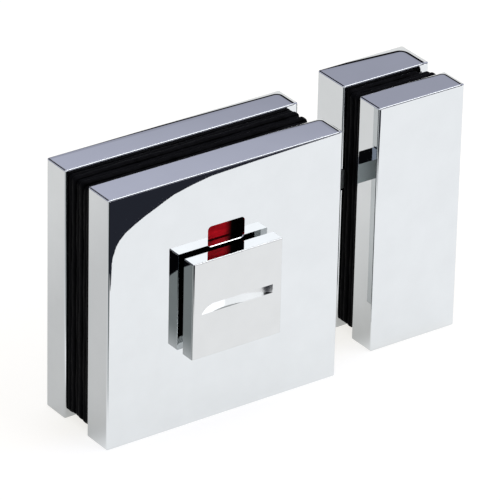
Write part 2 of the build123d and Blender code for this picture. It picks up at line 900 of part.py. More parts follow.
pieces = {
    "front_cover": make_front_cover(),
    "rear_cover": make_rear_cover(),
    "front_base_plate": make_front_base_plate(),
    "rear_base_plate": make_rear_base_plate(),
    "turn_plate": make_turn_plate(),
    "front_bush": make_front_bush(),
    "front_base_bush": make_front_base_bush(),
    "spindle": make_spindle(),
    "spindle_clip": make_spindle_clip(),
    "indicator_disc": make_indicator_disc(),
    "red_field": make_field(red_angle),
    "green_field": make_field(green_angle),
    "quadrant": make_quadrant(),
    "disc_spring": make_disc_spring(),
    "rear_base_bush": make_rear_base_bush(),
    "bolt": make_bolt(),
    "upper_bolt_guide": make_upper_guide(),
    "lower_bolt_guide": make_lower_guide(),
    "inside_turn": make_inside_turn(),
    "inside_bush": make_inside_bush(),
    "inside_turn_grub_screw": make_inside_grub_screw(),
    "clamp_screws": make_clamp_screws(),
    "clamp_sleeves": make_clamp_sleeves(),
    "cover_grub_screws": make_cover_grub_screws(),
    "keeper_front_cover": make_keeper_front_cover(),
    "keeper_rear_cover": make_keeper_rear_cover(),
    "keeper_front_base_plate": make_keeper_front_base_plate(),
    "keeper_rear_base_plate": make_keeper_rear_base_plate(),
    "pocket_liner": make_pocket_liner(),
    "keeper_clamp_screws": make_keeper_clamp_screws(),
    "keeper_clamp_sleeves": make_keeper_clamp_sleeves(),
    "keeper_grub_screws": make_keeper_grub_screws(),
}
for number in range(lock_sheets):
    pieces[f"rubber_sheet_{number + 1}"] = make_lock_sheet(number)
for number in range(keeper_sheets):
    pieces[f"keeper_rubber_sheet_{number + 1}"] = make_keeper_sheet(number)

os.makedirs("parts", exist_ok=True)
for name, shape in pieces.items():
    export_step(shape, f"parts/{name}.step")
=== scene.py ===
import math

import bmesh
import bpy
from bpy.props import FloatProperty, FloatVectorProperty, IntProperty, PointerProperty
from mathutils import Matrix, Vector


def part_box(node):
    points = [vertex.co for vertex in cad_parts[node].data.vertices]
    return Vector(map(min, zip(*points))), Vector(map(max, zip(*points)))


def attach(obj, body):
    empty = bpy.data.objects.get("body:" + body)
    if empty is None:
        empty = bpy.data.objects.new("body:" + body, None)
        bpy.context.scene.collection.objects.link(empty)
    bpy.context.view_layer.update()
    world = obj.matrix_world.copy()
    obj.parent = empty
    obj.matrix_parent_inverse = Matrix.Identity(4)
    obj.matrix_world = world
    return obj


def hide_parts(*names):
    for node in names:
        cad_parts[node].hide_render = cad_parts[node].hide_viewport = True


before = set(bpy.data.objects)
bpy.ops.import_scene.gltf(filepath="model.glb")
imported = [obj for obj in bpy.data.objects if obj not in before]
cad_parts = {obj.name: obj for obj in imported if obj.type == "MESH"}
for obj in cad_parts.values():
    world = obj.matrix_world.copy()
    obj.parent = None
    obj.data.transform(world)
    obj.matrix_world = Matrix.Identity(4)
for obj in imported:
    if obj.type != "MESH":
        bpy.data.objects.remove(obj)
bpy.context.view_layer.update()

bl_info = {
    "name": "Toilet Indicator Bolt",
    "version": (1, 0, 0),
    "blender": (4, 5, 0),
    "location": "View3D > Sidebar > Indicator Bolt",
    "description": "Dresses a glass-door indicator bolt: chrome covers, rubber sheets, indicator and works",
    "category": "Object",
}

millimetre = 0.001
quarter_turn = 90.0

# The pieces by finish.
lock_sheet_nodes = [f"rubber_sheet_{number}" for number in range(1, 7)]
keeper_sheet_nodes = [f"keeper_rubber_sheet_{number}" for number in range(1, 5)]
steel_nodes = [
    "front_base_plate",
    "rear_base_plate",
    "keeper_front_base_plate",
    "keeper_rear_base_plate",
    "spindle",
    "spindle_clip",
    "disc_spring",
    "clamp_screws",
    "keeper_clamp_screws",
    "cover_grub_screws",
    "keeper_grub_screws",
    "inside_turn_grub_screw",
]
black_nylon_nodes = [
    "front_bush",
    "front_base_bush",
    "rear_base_bush",
    "inside_bush",
    "pocket_liner",
    "upper_bolt_guide",
    "lower_bolt_guide",
]
white_nylon_nodes = ["indicator_disc", "clamp_sleeves", "keeper_clamp_sleeves"]

# The sizes below are in millimetres, except where a comment says metres.

# How the polishing wheel has eased the top of each cover: the name of its finish, the width of the roll
# along the rear edge, how much further back that roll starts for each length to the left of the right edge,
# and the width of the roll along the right edge.
eased_covers = {
    "front_cover": ("plated_chrome_front_cover", 1.7, 0.05, 2.0),
    "keeper_front_cover": ("plated_chrome_keeper_front_cover", 1.7, 0.05, 2.0),
    "rear_cover": ("plated_chrome_lock_rear", 2.7, 0.022, 2.6),
    "keeper_rear_cover": ("plated_chrome_keeper_rear", 4.2, 0.085, 3.0),
}
# A roll falls by this share of its width, slowly at first.
roll_fall = 0.2
roll_power = 3.0
# The rolls along the outside turn's left and right edges.
turn_left_roll = 0.8
turn_right_roll = 0.5
# The narrow chamfers along the front and the left of a cover's top: width and slope.
front_chamfer = (0.35, 1.03)
left_chamfer = (0.35, 1.2)

# Noise patterns over a piece: scale, detail, and how they are stretched along its axes.
plating_haze = (140.0, 4.0)
plating_grain = (2600.0, 2.0, (1.0, 1.0, 0.12))
plating_waves = (34.0, 1.0)
brush_lines = (2400.0, 3.0, (1.0, 1.0, 0.03))
brushed_haze = (160.0, 3.0)
steel_bloom = (220.0, 5.0)
rolling_lines = (1500.0, 3.0, (0.05, 1.0, 1.0))
draw_marks = (1800.0, 3.0, (0.04, 1.0, 1.0))
bolt_haze = (180.0, 3.0)
brass_tarnish = (260.0, 5.0)
mill_marks = (1700.0, 2.0, (1.0, 1.0, 0.2))
rubber_scuffs = (420.0, 5.0)
rubber_grain = (3800.0, 3.0)
nylon_cloud = (180.0, 3.0)
nylon_grain = (3000.0, 2.0)
enamel_cloud = (900.0, 3.0, (0.22, 1.0, 1.0))
enamel_ripple = (900.0, 2.0)
# The middle stretch of a noise pattern, which holds nearly all of it.
pattern_low = 0.3
pattern_high = 0.7

# The relief of the patterns: height and strength.
wave_relief = (0.004, 0.35)
grain_relief = (0.0004, 0.3)
brush_relief = (0.001, 0.4)
rolling_relief = (0.006, 0.5)
draw_relief = (0.002, 0.5)
mill_relief = (0.004, 0.5)
rubber_relief = (0.02, 0.5)
nylon_relief = (0.01, 0.4)
ripple_relief = (0.004, 0.4)

# The darkest and the palest shade of a finish, as shares of its colour.
plating_shades = (0.985, 1.015)
brushed_shades = (0.97, 1.0)
steel_shades = (0.82, 1.12)
brass_shades = (0.78, 1.08)
rubber_shades = (0.6, 2.4)
enamel_shades = (0.4, 1.0)

# The roughness of a finish, from its clearest to its dullest places.
plating_dullest = 2.2
brush_clearest = 2.0
brush_dullest = 5.0
slot_roughness = 0.08
steel_roughness = (0.26, 0.42)
bolt_roughness = (0.03, 0.08)
bolt_side_roughness = 0.45
brass_roughness = (0.18, 0.34)
rubber_roughness = (0.34, 0.56)
enamel_roughness = (0.2, 0.32)
nylon_clearer = 0.06
nylon_duller = 0.08

# The level of the mirror-like gleam of the finishes that aren't metal.
rubber_gleam = 0.015
nylon_gleam = 0.45
enamel_gleam = 0.02

# The brushed plating of the outside turn is a trace warmer than the covers': shares of red, green and blue.
brushed_tone = (0.955, 0.94, 0.925)
# The turn's slot: deeper than this behind its face, and this far above and below its middle.
slot_depth = 0.02
slot_reach = 1.05

# The bolt's polished steel, and the two mouldings: name, darkest and palest colour, and roughness.
# Painted reflection: the bolt's steel carries a teal tint that stands in for the teal its front reflects.
bolt_dark = (0.56, 0.62, 0.62)
bolt_pale = (0.64, 0.70, 0.70)
white_nylon = ("white_nylon", (0.70, 0.70, 0.67), (0.80, 0.80, 0.77), 0.42)
black_nylon = ("black_nylon", (0.018, 0.018, 0.018), (0.036, 0.036, 0.036), 0.45)

# The indicator's fields turn black under a painted shade that stands in for the window wall's shadow on the
# disc; it begins and is full at these distances past the disc's middle. A painted dark streak of shade lies
# this far out from the middle, is half this wide and covers the colour by this share.
painted_shade_begins = 1.3
painted_shade_full = 3.6
painted_shade_colour = (0.002, 0.001, 0.001, 1.0)
shadow_streak_place = 12.75
shadow_streak_reach = 0.26
shadow_streak_share = 0.88

# The cut edge of a sheet wanders by three waves: radians for each millimetre, shift by sheet, and share.
edge_waves = ((0.31, 2.1, 0.5), (0.83, 4.7, 0.3), (2.9, 1.3, 0.2))
# The rounded edge of a sheet: shares of its thickness, and of the rounding there.
rim_profile = ((0.0, 1.0), (0.06, 0.45), (0.2, 0.1), (0.5, 0.0), (0.8, 0.1), (0.94, 0.45), (1.0, 1.0))
# The steps round a sheet's corner, and the reach along Y of a normal from which a face counts as flat.
corner_steps = 8
flat_face = 0.99

# The camera's sensor in millimetres, and the nearest and farthest things that it sees, in metres.
sensor_width = 36.0
nearest_seen = 0.01
farthest_seen = 20.0

white = (1.0, 1.0, 1.0)
warm_white = (1.0, 0.985, 0.945)
cool_white = (0.97, 0.97, 1.0)
dark_grey = (0.022, 0.024, 0.034)
black = (0.002, 0.002, 0.003)
painted_shade_grey = (0.31, 0.335, 0.34)
room_black = (0.004, 0.004, 0.005)
horizon_grey = (0.9, 0.9, 0.9)
ceiling_white = (0.95, 0.96, 1.0)

floor_sides = 96
# How brightly the floor shows: to the camera, then to metal in front of the object and behind it, and how
# much that rises further back. For metal, the dimmer floor behind the object, brighter again further back,
# is painted shade. Each change has its direction, and where it begins and ends along it.
camera_glow = 0.80
front_glow = 0.87
rear_glow = 0.51
far_glow = 0.13
dim_direction = (-0.05, 1.0, 0.0)
dim_begins = -17.0
dim_ends = -4.0
far_direction = (0.5, 1.0, 0.0)
far_begins = 8.0
far_ends = 40.0

# The surround by height, 0 at the horizon and 1 overhead: plain colours, then shares of the sky's colour.
low_surround = ((0.0, horizon_grey), (0.09, horizon_grey), (0.12, room_black), (0.28, room_black))
sky_shares = ((0.33, 0.72), (0.442, 0.78), (0.452, 1.0), (0.47, 1.14), (0.75, 1.1))
ceiling_height = 0.95
# Dark round patches in the surround: direction, and how far out they begin to fade and end, in degrees.
dark_patches = (
    ((-0.58, 0.62, 0.47), 16.0, 24.0),
    ((-0.15, -0.9, 0.45), 22.0, 28.0),
    ((0.52, 0.05, 0.82), 13.0, 19.0),
)

# Outlines on the table: its dark end, which the polished fronts reflect, and a grey card of painted shade
# that stands in for the table's shaded corner.
near_table_edge = [
    (600.0, -124.0),
    (130.0, -121.6),
    (90.0, -120.1),
    (76.0, -119.6),
    (60.0, -118.9),
    (47.3, -118.2),
    (40.8, -116.8),
    (33.6, -114.8),
    (29.7, -113.1),
    (25.3, -111.0),
    (20.6, -108.9),
    (16.1, -106.6),
    (11.6, -104.1),
    (7.9, -101.4),
    (5.65, -99.4),
    (1.6, -95.0),
    (-0.5, -92.3),
    (-6.65, -83.5),
    (-12.8, -75.3),
    (-15.5, -84.0),
    (-22.0, -98.0),
    (-36.0, -98.0),
    (-44.0, -80.0),
]
far_table_edge = [
    (-50.0, -63.6),
    (-52.0, -64.5),
    (-60.0, -69.5),
    (-66.0, -74.5),
    (-71.0, -79.0),
    (-76.0, -81.0),
    (-81.0, -81.3),
    (-88.0, -82.0),
    (-120.0, -86.0),
    (-600.0, -300.0),
    (-600.0, -900.0),
]
dark_table_end = near_table_edge + far_table_edge + [(600.0, -900.0)]
black_table_end = far_table_edge + [(-50.0, -900.0)]
painted_shade_table_corner = [(-45.0, -25.0), (-300.0, -25.0), (-300.0, -300.0), (-45.0, -300.0)]
# The corners of the white cards above the table.
white_board = [(-10.0, -64.0, 50.0), (46.0, -64.0, 50.0), (46.0, -64.0, 79.5), (-10.0, -64.0, 79.5)]
high_card = [(79.0, -211.0, 300.0), (263.0, -211.0, 300.0), (263.0, -112.0, 300.0), (79.0, -112.0, 300.0)]
slot_card = [
    (20.0, -62.0, 53.0),
    (20.0, -42.0, 52.0),
    (20.0, -34.0, 55.0),
    (20.0, -24.0, 61.0),
    (20.0, -24.0, 64.5),
    (20.0, -62.0, 64.5),
]


def laid_flat(outline, height):
    """The corners of a card that lies on the table, a little above it."""
    return [(x, y, height) for x, y in outline]


# Cards that only polished metal sees: name, corners, colour, strength, and fades. A fade has its axis, and
# where along it the card is clear and where it is whole.
cards = (
    ("dark_table_end", laid_flat(dark_table_end, 0.2), dark_grey, 1.0, ()),
    ("black_table_end", laid_flat(black_table_end, 0.3), black, 1.0, (("X", -50.0, -62.0),)),
    # Painted shade: a grey card standing in for the shaded corner of the table.
    (
        "painted_shade_table_corner",
        laid_flat(painted_shade_table_corner, 0.1),
        painted_shade_grey,
        1.0,
        (("X", -46.0, -60.0), ("Y", -26.0, -44.0)),
    ),
    ("white_board", white_board, cool_white, 2.0, ()),
    ("high_card", high_card, white, 4.0, ()),
    ("slot_card", slot_card, cool_white, 2.6, ()),
)
# Soft lamps: direction from the place that they face, distance and size in metres, and power in watts.
lamps = {
    "front_softbox": ((0.75, -0.62, 0.47), 1.3, (1.6, 0.8), 8.5),
    "overhead_softbox": ((0.1, 0.1, 1.0), 1.2, (0.7, 0.7), 3.0),
}
# The place that the lamps face, in metres.
lamp_target = (0.0, 0.0, 0.03)


def colour_setting(name, description, colour):
    return FloatVectorProperty(
        name=name, description=description, subtype="COLOR", default=colour, min=0.0, max=1.0
    )


def length_setting(name, description, length):
    return FloatProperty(
        name=name, description=description, default=length, subtype="DISTANCE", unit="LENGTH"
    )


def angle_setting(name, description, degrees):
    return FloatProperty(
        name=name,
        description=description,
        default=math.radians(degrees),
        subtype="ANGLE",
        unit="ROTATION",
    )


class IndicatorBoltFinishes(bpy.types.PropertyGroup):
    """Colours and polish of the pieces"""

    chrome_colour: colour_setting(
        "Chrome", "Colour that the plated covers and turns reflect", (0.695, 0.718, 0.728)
    )
    chrome_roughness: FloatProperty(
        name="Chrome roughness",
        description="How blurred the plating's reflections are",
        default=0.006,
        min=0.0,
        max=1.0,
        subtype="FACTOR",
    )
    steel_colour: colour_setting(
        "Zinc-plated steel", "Colour of the base plates, the spindle and the screws", (0.50, 0.51, 0.52)
    )
    brass_colour: colour_setting("Brass", "Colour of the toothed quadrant", (0.72, 0.53, 0.24))
    rubber_colour: colour_setting(
        "Rubber", "Colour of the sheets between the plates", (0.0022, 0.0022, 0.0026)
    )
    engaged_colour: colour_setting(
        "Engaged red", "Colour that the window shows when the bolt is thrown", (0.95, 0.012, 0.026)
    )
    vacant_colour: colour_setting(
        "Vacant green", "Colour that the window shows when the bolt is drawn back", (0.03, 0.34, 0.09)
    )


class IndicatorBoltSheets(bpy.types.PropertyGroup):
    """Sizes of the rubber sheets between the plates"""

    corner_radius: length_setting("Corner radius", "Radius of a sheet's corners", 1.3 * millimetre)
    edge_step: length_setting(
        "Edge step", "Distance between points along a sheet's cut edge", 0.5 * millimetre
    )
    edge_wave: length_setting("Edge wave", "How far the cut edge wanders inwards", 0.22 * millimetre)
    edge_round: length_setting(
        "Edge round", "How far the cut edge is rounded over on both faces", 0.3 * millimetre
    )
    spindle_hole_radius: length_setting(
        "Spindle hole radius", "Radius of the hole round the spindle in the lock's sheets", 8.0 * millimetre
    )
    sleeve_hole_radius: length_setting(
        "Sleeve hole radius", "Radius of the holes for the clamp screws' sleeves", 4.2 * millimetre
    )
    lock_screw_reach: length_setting(
        "Lock screw reach", "Distance of the lock's screws from its middle along X and Z", 24.0 * millimetre
    )
    keeper_screw_reach: length_setting(
        "Keeper screw reach", "Height of the keeper's screws above and below its middle", 22.0 * millimetre
    )
    keeper_screw_offset: length_setting(
        "Keeper screw offset", "Distance of the keeper's screws from its middle along X", 2.0 * millimetre
    )
    hole_points: IntProperty(
        name="Points round a hole",
        description="Number of points round each hole of a sheet",
        default=48,
        min=12,
    )


class IndicatorBoltStudio(bpy.types.PropertyGroup):
    """The camera, the pale floor and the surround"""

    camera_azimuth: angle_setting("Camera azimuth", "Angle of the line of sight from the Y axis", 35.702)
    camera_elevation: angle_setting("Camera elevation", "Angle at which the camera looks down", 27.977)
    camera_roll: angle_setting("Camera roll", "Turn of the camera about its line of sight", 1.35)
    camera_place: FloatVectorProperty(
        name="Camera place",
        description="Where the camera stands",
        subtype="TRANSLATION",
        unit="LENGTH",
        default=(-0.5828, -0.8103, 0.5602),
    )
    camera_lens: FloatProperty(
        name="Lens",
        description="Focal length of the camera in millimetres",
        default=345.0,
    )
    floor_radius: length_setting("Floor radius", "Radius of the pale floor", 2.6)
    floor_colour: colour_setting("Floor", "Colour of the pale floor", (0.30, 0.30, 0.30))
    sky_colour: colour_setting(
        "Surround above",
        "Grey of the room above the table, which the top faces reflect",
        (0.539, 0.549, 0.673),
    )


def finishes():
    return bpy.context.scene.indicator_bolt_finishes


def sheets():
    return bpy.context.scene.indicator_bolt_sheets


def studio():
    return bpy.context.scene.indicator_bolt_studio


def scaled(colour, factor):
    return tuple(min(1.0, channel * factor) for channel in colour)


class NodeTree:
    """A node tree with short ways to add nodes and to join them."""

    def __init__(self, owner, output):
        owner.use_nodes = True
        self.tree = owner.node_tree
        self.tree.nodes.clear()
        self.output = self.add(output)

    def add(self, kind, **settings):
        node = self.tree.nodes.new(kind)
        for name, value in settings.items():
            setattr(node, name, value)
        return node

    def feed(self, target, source):
        """Joins another node's output to an input, or gives the input a plain value."""
        if isinstance(source, bpy.types.NodeSocket):
            self.tree.links.new(source, target)
        else:
            target.default_value = source

    def surface(self, source):
        """Shows a shader on the surface that the tree belongs to."""
        self.feed(self.output.inputs["Surface"], source)

    def coordinate(self, kind):
        return self.add("ShaderNodeTexCoord").outputs[kind]

    def ray(self, kind):
        return self.add("ShaderNodeLightPath").outputs[kind]

    def part(self, vector, axis):
        node = self.add("ShaderNodeSeparateXYZ")
        self.feed(node.inputs[0], vector)
        return node.outputs[axis]

    def math(self, operation, *values):
        node = self.add("ShaderNodeMath", operation=operation)
        for target, value in zip(node.inputs, values):
            self.feed(target, value)
        return node.outputs[0]

    def along(self, vector, direction):
        """How far a vector reaches in a direction."""
        node = self.add("ShaderNodeVectorMath", operation="DOT_PRODUCT")
        self.feed(node.inputs[0], vector)
        self.feed(node.inputs[1], direction)
        return node.outputs["Value"]

    def span(self, source, begins, ends, low=0.0, high=1.0, **settings):
        """Turns the values between two ends into values from low to high."""
        node = self.add("ShaderNodeMapRange", **settings)
        ranges = {"Value": source, "From Min": begins, "From Max": ends, "To Min": low, "To Max": high}
        for name, value in ranges.items():
            self.feed(node.inputs[name], value)
        return node.outputs["Result"]

    def smooth_span(self, source, begins, ends, low=0.0, high=1.0):
        return self.span(source, begins, ends, low, high, interpolation_type="SMOOTHSTEP")

    def mix(self, share, first, second, data_type="FLOAT"):
        node = self.add("ShaderNodeMix", data_type=data_type)
        for name, value in (("Factor", share), ("A", first), ("B", second)):
            self.feed(node.inputs[name], value)
        return node.outputs["Result"]


class FinishTree(NodeTree):
    """The node tree of a finish: one principled shader with patterns, tints and relief."""

    def __init__(self, name, metallic=0.0):
        self.material = bpy.data.materials.new(name)
        super().__init__(self.material, "ShaderNodeOutputMaterial")
        self.shader = self.add("ShaderNodeBsdfPrincipled")
        self.shader.inputs["Metallic"].default_value = metallic
        self.surface(self.shader.outputs["BSDF"])
        self.place = self.coordinate("Object")
        self.facing = self.coordinate("Normal")

    def noise(self, scale, detail, stretch=(1.0, 1.0, 1.0)):
        """A noise pattern over the piece, stretched along its axes."""
        mapping = self.add("ShaderNodeMapping")
        mapping.inputs["Scale"].default_value = stretch
        self.feed(mapping.inputs["Vector"], self.place)
        pattern = self.add("ShaderNodeTexNoise")
        pattern.inputs["Scale"].default_value = scale
        pattern.inputs["Detail"].default_value = detail
        self.feed(pattern.inputs["Vector"], mapping.outputs["Vector"])
        return pattern.outputs["Fac"]

    def spread(self, pattern, low, high):
        """The pattern's middle stretch turned into values from low to high."""
        return self.span(pattern, pattern_low, pattern_high, low, high)

    def tint(self, pattern, dark, pale):
        """A colour between two, by the pattern."""
        ramp = self.add("ShaderNodeValToRGB")
        first, last = ramp.color_ramp.elements
        first.position = pattern_low
        first.color = (*dark, 1.0)
        last.position = pattern_high
        last.color = (*pale, 1.0)
        self.feed(ramp.inputs["Fac"], pattern)
        return ramp.outputs["Color"]

    def shades(self, pattern, colour, darkest, palest):
        """A colour between two shares of one colour, by the pattern."""
        return self.tint(pattern, scaled(colour, darkest), scaled(colour, palest))

    def relief(self, pattern, height, strength=1.0, under=None):
        """Raises the surface by the pattern, in millimetres, on top of an earlier relief if one is given."""
        node = self.add("ShaderNodeBump")
        node.inputs["Distance"].default_value = height * millimetre
        node.inputs["Strength"].default_value = strength
        self.feed(node.inputs["Height"], pattern)
        if under is not None:
            self.feed(node.inputs["Normal"], under)
        return node.outputs["Normal"]

    def on_faces(self, height, faces):
        """The height on the faces that look along one axis, and 0 on the faces beside them."""
        return self.math("MULTIPLY", height, self.math("ABSOLUTE", self.part(self.facing, faces)))

    def roll(self, under, faces, axis, width, end, lean=0.0, lean_from=0.0):
        """Eases an edge along X or Y: the faces fall away ever faster over the roll's width to its end.

        The width is in millimetres, and with a negative one the roll comes from the other side. With a
        lean, the roll of a Y edge starts further back the further it lies from the lean's X.
        """
        place = self.part(self.place, axis)
        if lean:
            back = self.math("MULTIPLY_ADD", self.part(self.place, "X"), lean, -lean * lean_from)
            place = self.math("ADD", place, back)
        share = self.math("MAXIMUM", self.span(place, end - width * millimetre, end, clamp=False), 0.0)
        fall = self.math("MULTIPLY", self.math("POWER", share, roll_power), -1.0)
        return self.relief(self.on_faces(fall, faces), roll_fall * abs(width), under=under)

    def chamfer(self, under, faces, axis, width, slope, end):
        """Cuts a narrow even slope along an edge; with a negative width it comes from the other side."""
        fall = self.span(self.part(self.place, axis), end - width * millimetre, end, 0.0, -slope)
        return self.relief(self.on_faces(fall, faces), abs(width), under=under)

    def finish(self, colour, roughness, normal):
        self.feed(self.shader.inputs["Base Color"], colour)
        self.feed(self.shader.inputs["Roughness"], roughness)
        self.feed(self.shader.inputs["Normal"], normal)
        return self.material


def plated_chrome(name="plated_chrome", cover=None):
    """Mirror chrome over a polished casting: clear reflections with a trace of polishing haze.

    On a cover, the edges of the top are eased.
    """
    tree = FinishTree(name, metallic=1.0)
    haze = tree.noise(*plating_haze)
    rough = finishes().chrome_roughness
    normal = tree.relief(tree.noise(*plating_waves), *wave_relief)
    normal = tree.relief(tree.noise(*plating_grain), *grain_relief, normal)
    if cover is not None:
        low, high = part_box(cover)
        _, rear_width, lean, right_width = eased_covers[cover]
        normal = tree.roll(normal, "Z", "Y", rear_width, high.y, lean, high.x)
        normal = tree.roll(normal, "Z", "X", right_width, high.x)
        for axis, (width, slope), end in (("Y", front_chamfer, low.y), ("X", left_chamfer, low.x)):
            normal = tree.chamfer(normal, "Z", axis, -width, slope, end)
    return tree.finish(
        tree.shades(haze, finishes().chrome_colour, *plating_shades),
        tree.spread(haze, rough, rough * plating_dullest),
        normal,
    )


def brushed_chrome():
    """The outside turn: plated over fine upright brush lines, with a duller floor in its slot."""
    tree = FinishTree("brushed_chrome", metallic=1.0)
    colour = [channel * share for channel, share in zip(finishes().chrome_colour, brushed_tone)]
    lines = tree.noise(*brush_lines)
    rough = finishes().chrome_roughness
    low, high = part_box("turn_plate")
    middle_z = (low.z + high.z) / 2
    deep = tree.math("GREATER_THAN", tree.part(tree.place, "Y"), low.y + slot_depth * millimetre)
    beside = tree.math("COMPARE", tree.part(tree.place, "Z"), middle_z, slot_reach * millimetre)
    in_slot = tree.math("MULTIPLY", deep, beside)
    brushed = tree.spread(lines, rough * brush_clearest, rough * brush_dullest)
    normal = tree.relief(lines, *brush_relief)
    for end, width in ((low.x, -turn_left_roll), (high.x, turn_right_roll)):
        normal = tree.roll(normal, "Y", "X", width, end)
    return tree.finish(
        tree.shades(tree.noise(*brushed_haze), colour, *brushed_shades),
        tree.mix(in_slot, brushed, slot_roughness),
        normal,
    )


def zinc_steel():
    """Zinc-plated steel: a soft grey bloom with fine rolling lines."""
    tree = FinishTree("zinc_steel", metallic=1.0)
    bloom = tree.noise(*steel_bloom)
    return tree.finish(
        tree.shades(bloom, finishes().steel_colour, *steel_shades),
        tree.spread(bloom, *steel_roughness),
        tree.relief(tree.noise(*rolling_lines), *rolling_relief),
    )


def bolt_steel():
    """The bolt: polished steel with the draw marks of its sliding along X, and duller milled sides."""
    tree = FinishTree("bolt_steel", metallic=1.0)
    marks = tree.noise(*draw_marks)
    sideways = tree.math("ABSOLUTE", tree.part(tree.facing, "Y"))
    milled = tree.math("MULTIPLY", sideways, bolt_side_roughness)
    return tree.finish(
        # Painted reflection: the teal tint of the bolt's colours stands in for what its front reflects.
        tree.tint(tree.noise(*bolt_haze), bolt_dark, bolt_pale),
        tree.math("ADD", milled, tree.spread(marks, *bolt_roughness)),
        tree.relief(marks, *draw_relief),
    )


def machined_brass():
    """The quadrant: brass with the mill's marks and a slight tarnish."""
    tree = FinishTree("machined_brass", metallic=1.0)
    tarnish = tree.noise(*brass_tarnish)
    return tree.finish(
        tree.shades(tarnish, finishes().brass_colour, *brass_shades),
        tree.spread(tarnish, *brass_roughness),
        tree.relief(tree.noise(*mill_marks), *mill_relief),
    )


def black_rubber():
    """The sheets: matt black rubber with a fine grain, scuffed a little paler here and there."""
    tree = FinishTree("black_rubber")
    scuffs = tree.noise(*rubber_scuffs)
    tree.shader.inputs["Specular IOR Level"].default_value = rubber_gleam
    return tree.finish(
        tree.shades(scuffs, finishes().rubber_colour, *rubber_shades),
        tree.spread(scuffs, *rubber_roughness),
        tree.relief(tree.noise(*rubber_grain), *rubber_relief),
    )


def moulded_nylon(name, dark, pale, roughness):
    """Moulded nylon: an even colour with a fine spark grain."""
    tree = FinishTree(name)
    grain = tree.noise(*nylon_grain)
    tree.shader.inputs["Specular IOR Level"].default_value = nylon_gleam
    return tree.finish(
        tree.tint(tree.noise(*nylon_cloud), dark, pale),
        tree.spread(grain, roughness - nylon_clearer, roughness + nylon_duller),
        tree.relief(grain, *nylon_relief),
    )


def indicator_enamel(name, colour, shade_axis, shade_side, middle):
    """The glossy coloured field of the indicator, with painted shade over it: a black band and a thin dark
    streak.

    The painted black band stands in for the shadow of the window's wall and lies to one side of the disc's
    middle, along X or Z. The painted streak of shade runs along the same axis, at one distance from the
    middle.
    """
    tree = FinishTree(name)
    cloud = tree.noise(*enamel_cloud)
    tree.shader.inputs["Specular IOR Level"].default_value = enamel_gleam
    begins, full = (
        middle[shade_axis] + shade_side * place * millimetre for place in (painted_shade_begins, painted_shade_full)
    )
    # Painted shade: the field turns black past the disc's middle, standing in for the window wall's shadow.
    painted_shade = tree.smooth_span(tree.part(tree.place, shade_axis), begins, full)
    outward = "Z" if shade_axis == "X" else "X"
    offset = tree.math("SUBTRACT", tree.part(tree.place, outward), middle[outward])
    reach = tree.math("ABSOLUTE", offset)
    # Painted shade: a thin dark streak across the field, at one distance from the disc's middle.
    line = tree.math("COMPARE", reach, shadow_streak_place * millimetre, shadow_streak_reach * millimetre)
    painted_shade_mask = tree.math("MAXIMUM", painted_shade, tree.math("MULTIPLY", line, shadow_streak_share))
    return tree.finish(
        tree.mix(painted_shade_mask, tree.shades(cloud, colour, *enamel_shades), painted_shade_colour, "RGBA"),
        tree.spread(cloud, *enamel_roughness),
        tree.relief(tree.noise(*enamel_ripple), *ripple_relief),
    )


def dress(node, material):
    """Gives a carried-over piece its finish."""
    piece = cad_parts.get(node)
    if piece is None:
        raise RuntimeError(f"there is no piece named {node}")
    if not piece.material_slots:
        piece.data.materials.append(material)
    for held in piece.material_slots:
        held.material = material


def dress_all(nodes, material):
    for node in nodes:
        dress(node, material)


class INDICATORBOLT_OT_covers(bpy.types.Operator):
    """Plate the covers of the lock and the keeper, and the inside turn"""

    bl_idname = "indicator_bolt.covers"
    bl_label = "Covers and Inside Turn"

    def execute(self, context):
        dress("inside_turn", plated_chrome())
        for cover, (name, *_) in eased_covers.items():
            dress(cover, plated_chrome(name, cover))
        return {"FINISHED"}


class INDICATORBOLT_OT_outside_turn(bpy.types.Operator):
    """Finish the outside turn with its coin slot"""

    bl_idname = "indicator_bolt.outside_turn"
    bl_label = "Outside Turn"

    def execute(self, context):
        dress("turn_plate", brushed_chrome())
        return {"FINISHED"}


class INDICATORBOLT_OT_indicator(bpy.types.Operator):
    """Colour the indicator disc with its red and green fields, and the screws' white sleeves"""

    bl_idname = "indicator_bolt.indicator"
    bl_label = "Indicator"

    def execute(self, context):
        low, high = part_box("turn_plate")
        middle = {"X": (low.x + high.x) / 2, "Z": (low.z + high.z) / 2}
        colours = finishes()
        dress("red_field", indicator_enamel("engaged_red", colours.engaged_colour, "X", 1.0, middle))
        dress("green_field", indicator_enamel("vacant_green", colours.vacant_colour, "Z", -1.0, middle))
        dress_all(white_nylon_nodes, moulded_nylon(*white_nylon))
        return {"FINISHED"}


class INDICATORBOLT_OT_works(bpy.types.Operator):
    """Finish the base plates, the spindle, the quadrant, the bolt, the screws, the bushes and the guides"""

    bl_idname = "indicator_bolt.works"
    bl_label = "Works Inside"

    def execute(self, context):
        dress_all(steel_nodes, zinc_steel())
        dress("bolt", bolt_steel())
        dress("quadrant", machined_brass())
        dress_all(black_nylon_nodes, moulded_nylon(*black_nylon))
        return {"FINISHED"}


def edge_wander(distance, seed):
    """How far in the cut edge lies at this distance along it, from 0 to 1, the same on every run."""
    millimetres = distance / millimetre
    wander = sum(math.sin(millimetres * turns + seed * shift) * share for turns, shift, share in edge_waves)
    return (wander + 1.0) / 2.0


